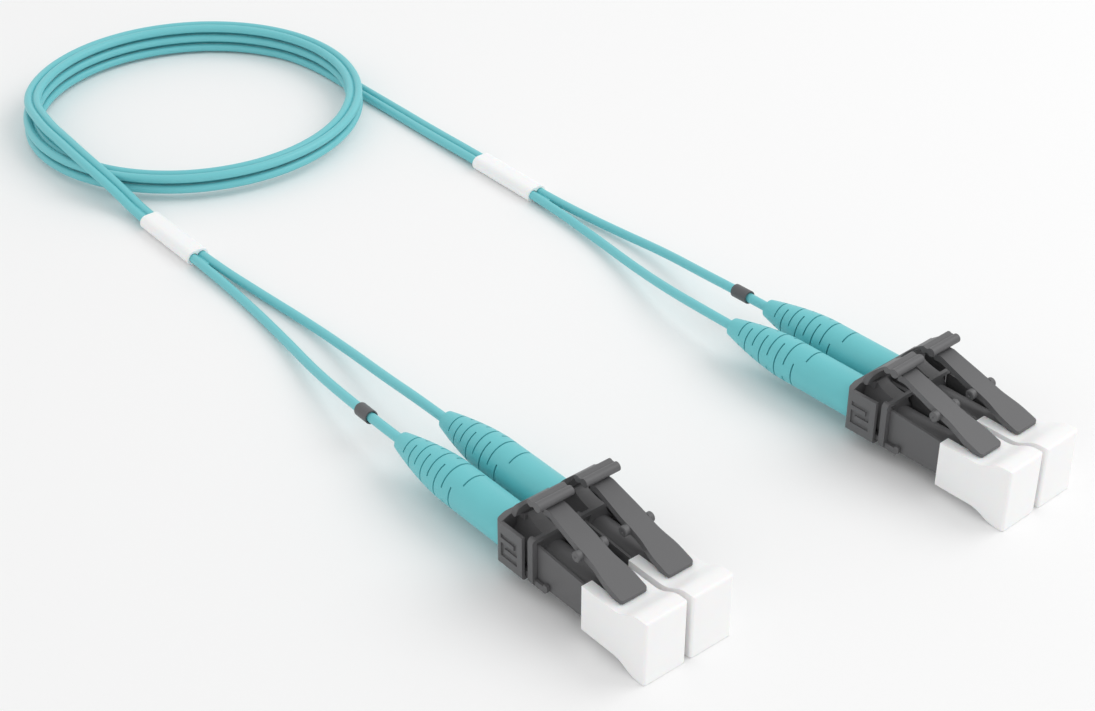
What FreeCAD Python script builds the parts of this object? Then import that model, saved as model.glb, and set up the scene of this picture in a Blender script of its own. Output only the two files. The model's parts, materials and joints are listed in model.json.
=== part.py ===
"""Duplex LC fibre patch cord: two duplex LC connectors joined by one coiled double cord.

Millimetres. X runs across a connector, +Y from its nose to its cord, +Z up from the surface it lies on.
A plug is drawn about its own centre line with its dust cap's front face at y = 0, then set in its connector.
The model's origin is under the middle of the near connector.
"""
import FreeCAD
import Part
import math
import os
from FreeCAD import Placement, Rotation, Vector

# Fits
FIT = 0.05                 # clearance all round between pieces that fit, slide or turn in each other
SEAT = 0.02                # gap between flat faces that press on each other
PLATE_GAP = 0.5            # open groove between the rear housings' collars and the clip
EASE = 0.45                # share of a curved stretch that its handles reach along it

# Plug pair
PITCH = 6.25               # between the two plugs of a duplex connector
AXIS_Z = 4.15              # ferrule's centre line above the surface

# Ferrule and its metal flange
FERRULE_R = 0.625
FERRULE_LENGTH = 6.4
FERRULE_TIP_Y = 1.8
FERRULE_CHAMFER = 0.15
FIBRE_HOLE_R = 0.3
FLANGE_TUBE_R = 1.0
FLANGE_TUBE_Y = 6.6
FLANGE_HEX_AF = 2.8
FLANGE_HEX_LENGTH = 1.6
FLANGE_TAIL_R = 0.75
FLANGE_TAIL_LENGTH = 3.4

# Spring
SPRING_WIRE_R = 0.14
SPRING_MEAN_R = 1.12
SPRING_TURNS = 5

# Front housing
NOSE_Y = 3.6
NOSE_SIDE = 4.5            # across the square nose
NOSE_LENGTH = 6.2          # the closed box part, before the open trough
PLUG_REAR_Y = 17.2
PLUG_EDGE_R = 0.3
STOP_WALL_Y = 8.2
STOP_WALL_THICKNESS = 0.8
CHAMBER_R = 1.65
CHAMBER_WALL = 0.3
SIDE_WALL = 0.3
SIDE_WALL_RISE = 0.5       # how much higher the side walls stand at the rear

# Latch
LATCH_HINGE_Y = 5.75
LATCH_HINGE_R = 0.5
LATCH_HINGE_DEPTH = 0.3    # how far the root sinks into the nose
LATCH_HINGE_HALF = 1.2
LATCH_FRONT_Y = 4.65
LATCH_FRONT_THICKNESS = 0.4
LATCH_THICKNESS = 0.85
LATCH_TAIL_Y = 16.3
LATCH_TAIL_LENGTH = 1.0
LATCH_TAIL_Z = 11.05
LATCH_FRONT_HALF = 1.75
LATCH_MID_HALF = 1.34
LATCH_TAIL_HALF = 1.15
LATCH_CORNER_R = 0.35
LATCH_MID_LENGTH = 2.1     # parallel stretch at the lugs
LUG_Y = 11.35
LUG_R = 0.6
LUG_HALF = 2.03
LUG_SINK = 0.02            # how far the lugs lie under the lever's top face
LUG_CHAMFER = 0.1
LUG_DIMPLE_R = 0.18

# Rear housing
COLLAR_Y = 16.9
COLLAR_LENGTH = 0.8
COLLAR_WALL = 0.625
COLLAR_CORNER_R = 0.5
COLLAR_TOP_Z = 7.75
RIB_HEIGHT = 0.5
RIB_LENGTH = 0.45
FOOT_LENGTH = 2.0
FOOT_HEIGHT = 0.75
FOOT_TOE_HEIGHT = 1.0
FOOT_TOE_LENGTH = 0.6
FOOT_TOE_CHAMFER = 0.3
FOOT_WALL = 0.4
REAR_BODY_HALF = 2.7
REAR_BODY_REAR_Y = 21.6
REAR_BODY_R = 2.3          # its tube, about the plug's centre line
REAR_BASE_Z = 3.0          # top of the slab under the tube
BULKHEAD_LENGTH = 0.5
RISER_LENGTH = 1.4
RISER_DROP = 0.15          # how far the riser's top lies under the trigger's hinge line
RISER_NECK_HALF = 0.8      # half-width at its narrow top, which flares down into the tube
RAMP_FOOT_Z = 7.35         # top of the ramp in front of the riser, where it meets the rib
CRADLE_HALF = 1.2          # half-width of the bar that the trigger's root lies on
CRADLE_DEPTH = 0.8

# Trigger
TRIGGER_HINGE_Z = 8.6
TRIGGER_HINGE_R = 0.4
TRIGGER_ROOT_HALF = 2.1
TRIGGER_NECK_HALF = 1.4
TBAR_HALF = 2.3
TBAR_FRONT_R = 0.54
TBAR_REAR_R = 0.42
TBAR_REAR_DROP = 0.05
TBAR_WEB = 0.55            # thickness between the two ridges
TBAR_PITCH = 1.05          # between the two ridges
TBAR_OVER_LATCH = 0.15     # gap between the ridge and the latch's tail
TBAR_Y = 17.0
NECK_LAP = 0.3             # how far the neck starts inside the T-bar
NECK_FLARE_LENGTH = 1.0    # where the neck widens to its root
# Handles of the neck's lower and upper sides, as (y, z) steps from the rear ridge and from the root
NECK_LOWER = ((0.8, -0.5), (-0.3, 1.5))
NECK_UPPER = ((1.2, -0.5), (-0.2, 1.2))

# Crimp post and ring
POST_FLANGE_LENGTH = 0.9
POST_R = 1.1
POST_HOLE_R = 0.85
POST_REAR_Y = 25.5
SPRING_LENGTH = 4.0
RING_Y = 22.4
RING_LENGTH = 3.6
RING_WALL = 0.25

# Duplex clip
CLIP_ROOM = 0.125          # beside the rear housings
CLIP_BOTTOM_Z = 1.9
CLIP_TOP_Z = 7.5
CLIP_WALL = 0.45
CLIP_PLATE = 0.8
CLIP_PLATE_TOP_Z = 7.95
CLIP_RAMP = 1.2
CLIP_EDGE_R = 0.5
CLIP_WEB_HALF = 0.3
CLIP_WEB_TOP_Z = 6.0
MARK_HEIGHT = 2.9
MARK_WIDTH = 2.6
MARK_STROKE = 0.55
MARK_DEPTH = 0.22
MARK_FLAG = 0.6            # reach of the stroke at the head of a 1

# Boot
BOOT_R = 2.55
BOOT_END_R = 1.15
BOOT_END_Y = 43.1
BOOT_TAPER_Y = 33.5
BOOT_EASE = (0.3, 0.3, 0.5)  # handles of its taper: shares of its length at each end, share of its drop
BOOT_NECK_R = 1.55
BOOT_CHAMFER = 0.15
SLOT_COUNT = 9
SLOT_PITCH = 1.325
SLOT_WIDTH = 0.2
SLOT_DEPTH = 0.5
SLOT_ARC = 144.0           # degrees
SHORT_SLOT_ARC = 70.0      # in the rings nearest the plug
SHORT_SLOT_RINGS = 2
FIRST_SLOT_FROM_END = 2.3

# Dust cap
CAP_WIDTH = 5.55
CAP_REAR_Y = 9.5
CAP_TOP_WALL = 0.27
CAP_BOTTOM_WALL = 0.8
CAP_FLARE_Y = 4.8
CAP_FLARE_TOP = 1.25       # rise of the top at the front
CAP_LAND = 0.9             # length of the flat at the front, top and bottom
CAP_FERRULE_R = 1.1
CAP_FERRULE_GAP = 0.6
CAP_SLOT_GAP = 0.15
CAP_EDGE_R = 0.35

# Cord
LEG_R = 0.6
WEB_GAP = 0.01             # half the gap between the two legs where they run as one
LEG_START_Y = 39.0         # inside the boot
LEG_FIRST_BEND_Y = 47.6
COIL_R = 23.3
COIL_TURNS = 2.5
COIL_PITCH = 1.6
COIL_CENTRE = (24.4, 131.3)
SLEEVE_WALL = 0.35
SLEEVE_LENGTH = 12.2
BAND_WALL = 0.2
BAND_LENGTH = 2.6
BAND_FROM_BOOT = {"near": 7.5, "far": 4.6}  # along the leg, from the boot's end to the band's middle

# Where each connector lies: x, y of its dust caps' front face and its turn about Z in degrees
CONNECTORS = {"near": (0.0, 0.0, 0.0), "far": (45.7, -6.84, 1.73)}
SIDES = {"left": -1, "right": 1}
MARKS = {"left": 2, "right": 1}

# Centre line of the double cord inside each sleeve
SLEEVE_RUNS = {
    "near": (Vector(2.95, 93.55, 1.03), Vector(3.2, 111.05, 1.03)),
    "far": (Vector(47.45, 78.0, 0.98), Vector(47.5, 95.8, 0.96)),
}
# Points of each leg between its boot and its sleeve, then from its sleeve to the coil
LEG_POINTS = {
    ("near", "left"): [(-2.15, 55.6, 3.0), (-0.7, 64.2, 1.6), (0.9, 73.0, 0.85), (2.05, 83.0, 0.62)],
    ("near", "right"): [(3.8, 55.7, 3.0), (4.9, 64.4, 1.6), (5.25, 73.4, 0.82), (4.65, 83.2, 0.62)],
    ("far", "left"): [(42.3, 48.6, 3.0), (44.2, 57.1, 1.6), (45.95, 66.6, 0.85)],
    ("far", "right"): [(48.3, 48.9, 3.0), (49.6, 57.4, 1.6), (49.35, 66.8, 0.8)],
}
LEAD_POINTS = {
    "near": [(2.9, 115.25, 2.3), (2.4, 117.95, 3.35)],
    "far": [(47.6, 104.8, 0.7), (47.72, 113.2, 0.62), (47.7, 121.5, 0.61)],
}

# Sizes that follow
HALF_NOSE = NOSE_SIDE / 2
PLUG_BOTTOM_Z = AXIS_Z - HALF_NOSE
PLUG_TOP_Z = AXIS_Z + HALF_NOSE
HOLE_TO_STOP_Y = STOP_WALL_Y + STOP_WALL_THICKNESS
HEX_Y = HOLE_TO_STOP_Y + SEAT
HEX_REAR_Y = HEX_Y + FLANGE_HEX_LENGTH
TAIL_END_Y = HEX_REAR_Y + FLANGE_TAIL_LENGTH
POST_Y = HEX_REAR_Y + SPRING_LENGTH
COLLAR_HALF = HALF_NOSE + FIT + COLLAR_WALL
COLLAR_REAR_Y = COLLAR_Y + COLLAR_LENGTH
CLIP_Y = COLLAR_REAR_Y + PLATE_GAP
CLIP_HALF = PITCH / 2 + REAR_BODY_HALF + CLIP_ROOM + CLIP_WALL
CLIP_FLOOR_Z = CLIP_BOTTOM_Z + CLIP_WALL
CLIP_PLATE_Y = REAR_BODY_REAR_Y + FIT
CLIP_REAR_Y = CLIP_PLATE_Y + CLIP_PLATE
CAP_TOP_Z = PLUG_TOP_Z + FIT + CAP_TOP_WALL
CAP_BOTTOM_Z = PLUG_BOTTOM_Z - FIT - CAP_BOTTOM_WALL
LATCH_HINGE_Z = PLUG_TOP_Z + LATCH_HINGE_R - LATCH_HINGE_DEPTH
LATCH_FRONT_Z = CAP_TOP_Z + 2 * FIT
TRIGGER_HINGE_Y = REAR_BODY_REAR_Y - RISER_LENGTH / 2
TBAR_Z = LATCH_TAIL_Z + TBAR_OVER_LATCH + TBAR_FRONT_R
STRAND_OFFSET = LEG_R + WEB_GAP
ORIGIN_Y = BOOT_END_Y / 2
TINY = 1e-3                # two positions closer than this are the same


def box(x0, x1, y0, y1, z0, z1):
    return Part.makeBox(x1 - x0, y1 - y0, z1 - z0, Vector(x0, y0, z0))


def rod(radius, y0, y1, z=AXIS_Z, x=0.0):
    """Cylinder along Y."""
    return Part.makeCylinder(radius, y1 - y0, Vector(x, y0, z), Vector(0, 1, 0))


def pin(radius, half, y, z):
    """Cylinder across the plug."""
    return Part.makeCylinder(radius, 2 * half, Vector(-half, y, z), Vector(1, 0, 0))


def outline(items, to_vector):
    """Closed face through (a, b) corners; a list of four corners in their place is a Bezier stretch."""
    stretches = [item if isinstance(item, list) else [item] for item in items]
    last = to_vector(stretches[-1][-1])
    edges = []
    for stretch in stretches:
        poles = [to_vector(corner) for corner in stretch]
        if (poles[0] - last).Length > TINY:
            edges.append(Part.makeLine(last, poles[0]))
        if len(poles) > 1:
            curve = Part.BezierCurve()
            curve.setPoles(poles)
            edges.append(curve.toShape())
        last = poles[-1]
    return Part.Face(Part.Wire(edges))


def across(items, x0, x1):
    """Side profile in (y, z), drawn out from x0 to x1."""
    return outline(items, lambda p: Vector(x0, p[0], p[1])).extrude(Vector(x1 - x0, 0, 0))


def upright(items, z0, z1):
    """Plan outline in (x, y), drawn out from z0 to z1."""
    return outline(items, lambda p: Vector(p[0], p[1], z0)).extrude(Vector(0, 0, z1 - z0))


def along(items, y0, y1):
    """Cross-section in (x, z), drawn out from y0 to y1."""
    return outline(items, lambda p: Vector(p[0], y0, p[1])).extrude(Vector(0, y1 - y0, 0))


def mirrored(right):
    """The other half of an outline that is the same on both sides, in the order that closes it."""
    return [[(-a, b) for a, b in item[::-1]] if isinstance(item, list) else (-item[0], item[1])
            for item in right[::-1]]


def edges_where(shape, test):
    return [edge for edge in shape.Edges if test(edge.BoundBox)]


def runs_along_y(bounds, length):
    return bounds.YLength > length and bounds.XLength < TINY and bounds.ZLength < TINY


def plug_housing():
    """Square nose, stop wall and spring chamber, with an open trough over the chamber behind the nose."""
    nose_end = NOSE_Y + NOSE_LENGTH
    nose = box(-HALF_NOSE, HALF_NOSE, NOSE_Y, nose_end, PLUG_BOTTOM_Z, PLUG_TOP_Z)
    nose = nose.makeFillet(PLUG_EDGE_R, edges_where(nose, lambda b: runs_along_y(b, 1) and b.ZMin < AXIS_Z))
    cradle = box(-HALF_NOSE, HALF_NOSE, nose_end, PLUG_REAR_Y, PLUG_BOTTOM_Z, AXIS_Z)
    cradle = cradle.makeFillet(
        PLUG_EDGE_R, edges_where(cradle, lambda b: runs_along_y(b, 1) and b.ZMin < AXIS_Z - 1))
    walls = [
        across([(nose_end, AXIS_Z), (PLUG_REAR_Y, AXIS_Z), (PLUG_REAR_Y, PLUG_TOP_Z + SIDE_WALL_RISE),
                (nose_end, PLUG_TOP_Z)], inner, inner + SIDE_WALL)
        for inner in (-HALF_NOSE, HALF_NOSE - SIDE_WALL)
    ]
    chamber_wall = rod(CHAMBER_R + CHAMBER_WALL, nose_end, PLUG_REAR_Y)
    body = nose.fuse([cradle, chamber_wall] + walls)
    hollows = [
        rod(CHAMBER_R, NOSE_Y, STOP_WALL_Y),
        rod(FLANGE_TUBE_R + FIT, STOP_WALL_Y, HOLE_TO_STOP_Y),
        rod(CHAMBER_R, HOLE_TO_STOP_Y, PLUG_REAR_Y),
        pin(LATCH_HINGE_R + FIT, LATCH_HINGE_HALF + FIT, LATCH_HINGE_Y, LATCH_HINGE_Z),
    ]
    return body.cut(hollows).removeSplitter()


def latch_plan():
    """Half-width along the latch: wide at the front, drawn in to the tail."""
    corner = LATCH_CORNER_R
    wide, mid, tail = LATCH_FRONT_HALF, LATCH_MID_HALF, LATCH_TAIL_HALF
    end = LATCH_TAIL_Y + LATCH_TAIL_LENGTH
    taper = (LATCH_HINGE_Y + LATCH_HINGE_R, LUG_Y - LATCH_MID_LENGTH / 2)
    handle = EASE * (taper[1] - taper[0])

    right = [
        [(wide - corner, LATCH_FRONT_Y), (wide - corner * EASE, LATCH_FRONT_Y),
         (wide, LATCH_FRONT_Y + corner * EASE), (wide, LATCH_FRONT_Y + corner)],
        [(wide, taper[0]), (wide, taper[0] + handle), (mid, taper[1] - handle), (mid, taper[1])],
        (mid, LUG_Y + LATCH_MID_LENGTH / 2),
        (tail, LATCH_TAIL_Y),
        (tail, end),
    ]
    return right + mirrored(right)


def latch_lever():
    """Sloping lever with a round root in the nose, two lugs, and a flat tail under the trigger."""
    slope = (LATCH_TAIL_Z - LATCH_FRONT_Z - LATCH_FRONT_THICKNESS) / (LATCH_TAIL_Y - LATCH_FRONT_Y)
    front_top = LATCH_FRONT_Z + LATCH_FRONT_THICKNESS
    bend_y = LATCH_FRONT_Y + (LATCH_THICKNESS - LATCH_FRONT_THICKNESS) / slope
    end = LATCH_TAIL_Y + LATCH_TAIL_LENGTH
    bottom = LATCH_TAIL_Z - LATCH_THICKNESS
    side = [(LATCH_FRONT_Y, LATCH_FRONT_Z), (bend_y, LATCH_FRONT_Z), (LATCH_TAIL_Y, bottom), (end, bottom),
            (end, LATCH_TAIL_Z), (LATCH_TAIL_Y, LATCH_TAIL_Z), (LATCH_FRONT_Y, front_top)]
    lever = across(side, -LUG_HALF, LUG_HALF)
    lever = lever.common(upright(latch_plan(), LATCH_FRONT_Z - 1, LATCH_TAIL_Z + 1))
    lug_z = front_top + slope * (LUG_Y - LATCH_FRONT_Y) - (LUG_R + LUG_SINK) * math.hypot(1, slope)
    lugs = pin(LUG_R, LUG_HALF, LUG_Y, lug_z)
    lugs = lugs.makeChamfer(LUG_CHAMFER, edges_where(lugs, lambda b: b.XLength < TINY))
    root = pin(LATCH_HINGE_R, LATCH_HINGE_HALF, LATCH_HINGE_Y, LATCH_HINGE_Z)
    lever = lever.fuse([lugs, root])
    dimples = [
        Part.makeCone(LUG_DIMPLE_R, 0, LUG_DIMPLE_R,
                      Vector(sign * LUG_HALF, LUG_Y, lug_z), Vector(-sign, 0, 0))
        for sign in (-1, 1)
    ]
    return lever.cut(dimples).removeSplitter()


def ferrule():
    body = rod(FERRULE_R, FERRULE_TIP_Y, FERRULE_TIP_Y + FERRULE_LENGTH)
    ends = [edge for edge in body.Edges if edge.BoundBox.YLength < TINY]
    return body.makeChamfer(FERRULE_CHAMFER, ends)


def ferrule_flange():
    """Metal holder: front tube round the ferrule, hexagonal stop and tail tube through the spring."""
    corner = FLANGE_HEX_AF / math.sqrt(3)
    turns = [math.radians(60 * i) for i in range(6)]
    hexagon = along([(corner * math.cos(turn), AXIS_Z + corner * math.sin(turn)) for turn in turns],
                    HEX_Y, HEX_REAR_Y)
    body = hexagon.fuse([rod(FLANGE_TUBE_R, FLANGE_TUBE_Y, HEX_Y),
                         rod(FLANGE_TAIL_R, HEX_REAR_Y, TAIL_END_Y)])
    ferrule_end = FERRULE_TIP_Y + FERRULE_LENGTH + SEAT
    return body.cut([rod(FERRULE_R + SEAT / 2, FLANGE_TUBE_Y, ferrule_end),
                     rod(FIBRE_HOLE_R, ferrule_end, TAIL_END_Y)]).removeSplitter()


def ferrule_spring():
    height = SPRING_LENGTH - 2 * SPRING_WIRE_R - 2 * SEAT
    start = HEX_REAR_Y + SPRING_WIRE_R + SEAT
    helix = Part.makeLongHelix(height / SPRING_TURNS, height, SPRING_MEAN_R)
    section = Part.Wire(Part.makeCircle(SPRING_WIRE_R, Vector(SPRING_MEAN_R, 0, 0), Vector(0, 1, 0)))
    coil = Part.Wire(helix.Edges).makePipeShell([section], True, True)
    coil.rotate(Vector(0, 0, 0), Vector(1, 0, 0), -90)
    coil.translate(Vector(0, start, AXIS_Z))
    return coil


def crimp_post():
    """Spring seat in the chamber, with a hollow post out through the rear housing."""
    flange_rear = POST_Y + POST_FLANGE_LENGTH
    body = rod(CHAMBER_R - FIT, POST_Y, flange_rear).fuse(rod(POST_R, flange_rear, POST_REAR_Y))
    return body.cut(rod(POST_HOLE_R, POST_Y, POST_REAR_Y)).removeSplitter()


def crimp_ring():
    inner = POST_R + FIT
    return rod(inner + RING_WALL, RING_Y, RING_Y + RING_LENGTH).cut(rod(inner, RING_Y, RING_Y + RING_LENGTH))


def riser():
    """Pedestal for the trigger: a bar on a narrow neck that flares down into the tube and runs to the rib."""
    front_y, top_z = REAR_BODY_REAR_Y - RISER_LENGTH, TRIGGER_HINGE_Z - RISER_DROP
    ramp, drop = front_y - PLUG_REAR_Y, top_z - RAMP_FOOT_Z
    side = across([(REAR_BODY_REAR_Y, AXIS_Z), (REAR_BODY_REAR_Y, top_z),
                   [(front_y, top_z), (front_y, top_z - EASE * drop),
                    (PLUG_REAR_Y + EASE * ramp, RAMP_FOOT_Z), (PLUG_REAR_Y, RAMP_FOOT_Z)],
                   (PLUG_REAR_Y, AXIS_Z)], -REAR_BODY_R, REAR_BODY_R)
    foot = REAR_BODY_R * math.sqrt(0.5)
    fall = top_z - AXIS_Z - foot
    reach = EASE * (foot - RISER_NECK_HALF)
    right = [
        (foot, AXIS_Z),
        [(foot, AXIS_Z + foot), (foot - reach, AXIS_Z + foot + reach),
         (RISER_NECK_HALF, top_z - EASE * fall), (RISER_NECK_HALF, top_z)],
    ]
    flare = along(right + mirrored(right), PLUG_REAR_Y, REAR_BODY_REAR_Y)
    cradle = box(-CRADLE_HALF, CRADLE_HALF, front_y, REAR_BODY_REAR_Y, top_z - CRADLE_DEPTH, top_z)
    return side.common(flare).fuse(cradle)


def rear_body():
    """Rear housing: collar and feet round the front housing, a tube on a slab, and the trigger's riser."""
    inner = HALF_NOSE + FIT
    strip_bottom = PLUG_BOTTOM_Z
    pieces = []
    for sign in (-1, 1):
        x0, x1 = sorted((sign * inner, sign * COLLAR_HALF))
        strip = box(x0, x1, COLLAR_Y, COLLAR_REAR_Y, strip_bottom, COLLAR_TOP_Z)
        outer_x = sign * COLLAR_HALF
        strip = strip.makeFillet(COLLAR_CORNER_R, edges_where(
            strip, lambda b: runs_along_y(b, 0.1) and abs(b.XMin - outer_x) < TINY))
        foot_x = sorted((sign * inner, sign * (inner + FOOT_WALL)))
        toe_y = COLLAR_Y - FOOT_LENGTH
        foot = across([(COLLAR_REAR_Y, strip_bottom), (COLLAR_REAR_Y, strip_bottom + FOOT_HEIGHT),
                       (toe_y + FOOT_TOE_LENGTH, strip_bottom + FOOT_HEIGHT),
                       (toe_y + FOOT_TOE_LENGTH, strip_bottom + FOOT_TOE_HEIGHT),
                       (toe_y, strip_bottom + FOOT_TOE_HEIGHT), (toe_y, strip_bottom + FOOT_TOE_CHAMFER),
                       (toe_y + FOOT_TOE_CHAMFER, strip_bottom)], foot_x[0], foot_x[1])
        pieces += [strip, foot]
    rib = box(-inner, inner, COLLAR_Y, COLLAR_Y + RIB_LENGTH, COLLAR_TOP_Z - RIB_HEIGHT, COLLAR_TOP_Z)
    half, base = REAR_BODY_HALF, CLIP_FLOOR_Z + FIT
    slab = box(-half, half, PLUG_REAR_Y, REAR_BODY_REAR_Y, base, REAR_BASE_Z)
    bulkhead = box(-half, half, PLUG_REAR_Y, PLUG_REAR_Y + BULKHEAD_LENGTH, base, AXIS_Z)
    above = box(-half, half, PLUG_REAR_Y, REAR_BODY_REAR_Y, base, COLLAR_TOP_Z)
    tube_outside = rod(REAR_BODY_R, PLUG_REAR_Y, REAR_BODY_REAR_Y).common(above)
    body = slab.fuse(pieces + [rib, bulkhead, tube_outside, riser()])
    groove = pin(TRIGGER_HINGE_R + FIT, REAR_BODY_HALF, TRIGGER_HINGE_Y, TRIGGER_HINGE_Z)
    bore = rod(POST_R + FIT, PLUG_REAR_Y, REAR_BODY_REAR_Y)
    return body.cut([groove, bore]).removeSplitter()


def stepped(corner, step):
    return corner[0] + step[0], corner[1] + step[1]


def trigger_neck():
    """Side of the curved neck from the T-bar down to the round root."""
    bar = (TBAR_Y + TBAR_PITCH, TBAR_Z - TBAR_REAR_DROP)
    low, high = (bar[0] - NECK_LAP, bar[1] - TBAR_WEB / 2), (bar[0], bar[1] + TBAR_WEB / 2)
    front = (TRIGGER_HINGE_Y - TRIGGER_HINGE_R, TRIGGER_HINGE_Z)
    rear = (TRIGGER_HINGE_Y + TRIGGER_HINGE_R, TRIGGER_HINGE_Z)
    return across([
        [low, stepped(bar, NECK_LOWER[0]), stepped(front, NECK_LOWER[1]), front],
        [rear, stepped(rear, NECK_UPPER[1]), stepped(bar, NECK_UPPER[0]), high],
    ], -TRIGGER_ROOT_HALF, TRIGGER_ROOT_HALF)


def trigger_plan():
    """Half-width along the neck: narrow at the T-bar, flared to the root."""
    narrow, wide = TRIGGER_NECK_HALF, TRIGGER_ROOT_HALF
    flare_end = TRIGGER_HINGE_Y - TRIGGER_HINGE_R
    flare_y = flare_end - NECK_FLARE_LENGTH
    bend_y = flare_end - NECK_FLARE_LENGTH / 2
    right = [
        (narrow, TBAR_Y),
        [(narrow, flare_y), (narrow, bend_y), (wide, bend_y), (wide, flare_end)],
        (wide, TRIGGER_HINGE_Y + TRIGGER_HINGE_R),
    ]
    return right + mirrored(right)


def trigger():
    """T-bar of two ridges on a curved neck, with a round root on the riser."""
    rear_y = TBAR_Y + TBAR_PITCH
    web = box(-TBAR_HALF, TBAR_HALF, TBAR_Y, rear_y, TBAR_Z - TBAR_WEB / 2, TBAR_Z + TBAR_WEB / 2)
    ridges = [pin(TBAR_FRONT_R, TBAR_HALF, TBAR_Y, TBAR_Z),
              pin(TBAR_REAR_R, TBAR_HALF, rear_y, TBAR_Z - TBAR_REAR_DROP)]
    neck = trigger_neck().common(upright(trigger_plan(), TRIGGER_HINGE_Z, TBAR_Z + TBAR_WEB))
    root = pin(TRIGGER_HINGE_R, TRIGGER_ROOT_HALF, TRIGGER_HINGE_Y, TRIGGER_HINGE_Z)
    return web.fuse(ridges + [neck, root]).removeSplitter()


def boot_profile(inset):
    """Half-section of the boot's outside in (y, r), drawn in by inset, closed along the centre line."""
    front = CLIP_REAR_Y + FIT
    big, small = BOOT_R - inset, BOOT_END_R - inset
    reach = BOOT_END_Y - BOOT_TAPER_Y
    return [
        (front, 0), (front, big - BOOT_CHAMFER), (front + BOOT_CHAMFER, big), (BOOT_TAPER_Y, big),
        [(BOOT_TAPER_Y, big), (BOOT_TAPER_Y + BOOT_EASE[0] * reach, big),
         (BOOT_END_Y - BOOT_EASE[1] * reach, small + BOOT_EASE[2] * (big - small)), (BOOT_END_Y, small)],
        (BOOT_END_Y, 0),
    ]


def turned(items):
    """Half-section in (y, r), turned about the plug's centre line."""
    face = outline(items, lambda p: Vector(0, p[0], AXIS_Z + p[1]))
    return face.revolve(Vector(0, 0, AXIS_Z), Vector(0, 1, 0), 360)


def boot():
    """Tapered boot with rings of paired slots, each ring a quarter turn on from the last."""
    body = turned(boot_profile(0))
    core = turned(boot_profile(SLOT_DEPTH))
    slots = []
    for ring in range(SLOT_COUNT):
        y = BOOT_END_Y - FIRST_SLOT_FROM_END - ring * SLOT_PITCH
        arc = SLOT_ARC if ring < SLOT_COUNT - SHORT_SLOT_RINGS else SHORT_SLOT_ARC
        for half in (0, 180):
            sector = Part.makeCylinder(
                BOOT_R + 1, SLOT_WIDTH, Vector(0, 0, 0), Vector(0, 0, 1), arc)
            sector.rotate(Vector(0, 0, 0), Vector(0, 0, 1), half + 90 * (ring % 2) + 90 - arc / 2)
            sector.rotate(Vector(0, 0, 0), Vector(1, 0, 0), -90)
            sector.translate(Vector(0, y - SLOT_WIDTH / 2, AXIS_Z))
            slots.append(sector.cut(core))
    neck = rod(BOOT_NECK_R, CLIP_PLATE_Y + FIT, CLIP_REAR_Y + 2 * FIT)
    ring_room = rod(POST_R + RING_WALL + 2 * FIT, RING_Y - 2 * FIT, RING_Y + RING_LENGTH + 2 * FIT)
    post_room = rod(POST_R + FIT, CLIP_PLATE_Y, RING_Y)
    leg_room = rod(LEG_R + FIT, RING_Y, BOOT_END_Y)
    return body.cut(slots).fuse(neck).cut([ring_room, post_room, leg_room]).removeSplitter()


def dust_cap():
    """Soft cap: a square socket for the nose, a round one for the ferrule, and a flared closed front."""
    half = CAP_WIDTH / 2
    top, bottom = CAP_TOP_Z, CAP_BOTTOM_Z
    front_top, front_bottom = CAP_TOP_Z + CAP_FLARE_TOP, 0.0
    handle = EASE * (CAP_FLARE_Y - CAP_LAND)
    side = [
        (0, front_bottom), (CAP_LAND, front_bottom),
        [(CAP_LAND, front_bottom), (CAP_LAND + handle, front_bottom),
         (CAP_FLARE_Y - handle, bottom), (CAP_FLARE_Y, bottom)],
        (CAP_REAR_Y, bottom), (CAP_REAR_Y, top), (CAP_FLARE_Y, top),
        [(CAP_FLARE_Y, top), (CAP_FLARE_Y - handle, top),
         (CAP_LAND + handle, front_top), (CAP_LAND, front_top)],
        (0, front_top),
    ]
    body = across(side, -half, half)
    rounded = edges_where(body, lambda b: b.YMax < TINY and (b.XLength < TINY or b.ZMin > AXIS_Z))
    body = body.makeFillet(CAP_EDGE_R, rounded)
    inner = HALF_NOSE + FIT
    socket = box(-inner, inner, NOSE_Y - FIT, CAP_REAR_Y, PLUG_BOTTOM_Z - FIT, PLUG_TOP_Z + FIT)
    ferrule_room = rod(CAP_FERRULE_R, FERRULE_TIP_Y - CAP_FERRULE_GAP, NOSE_Y)
    slot_half = LATCH_HINGE_HALF + CAP_SLOT_GAP
    slot_y = LATCH_HINGE_Y - LATCH_HINGE_R - CAP_SLOT_GAP
    slot = box(-slot_half, slot_half, slot_y, CAP_REAR_Y, AXIS_Z, top + 1)
    return body.cut([socket, ferrule_room, slot]).removeSplitter()


def numeral(digit):
    """Strokes of a plain numeral as (a0, a1, b0, b1) boxes, centred, a to the right and b up."""
    w, h, s = MARK_WIDTH / 2, MARK_HEIGHT / 2, MARK_STROKE
    level = {"top": h - s, "middle": -s / 2, "bottom": -h}
    bars = [(-w, w, b, b + s) for b in level.values()]
    if digit == 1:
        return [(-s / 2, s / 2, -h, h), (-MARK_FLAG, -s / 2, h - s, h)]
    return bars + [(w - s, w, 0, h), (-w, -w + s, -h, 0)]


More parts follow.
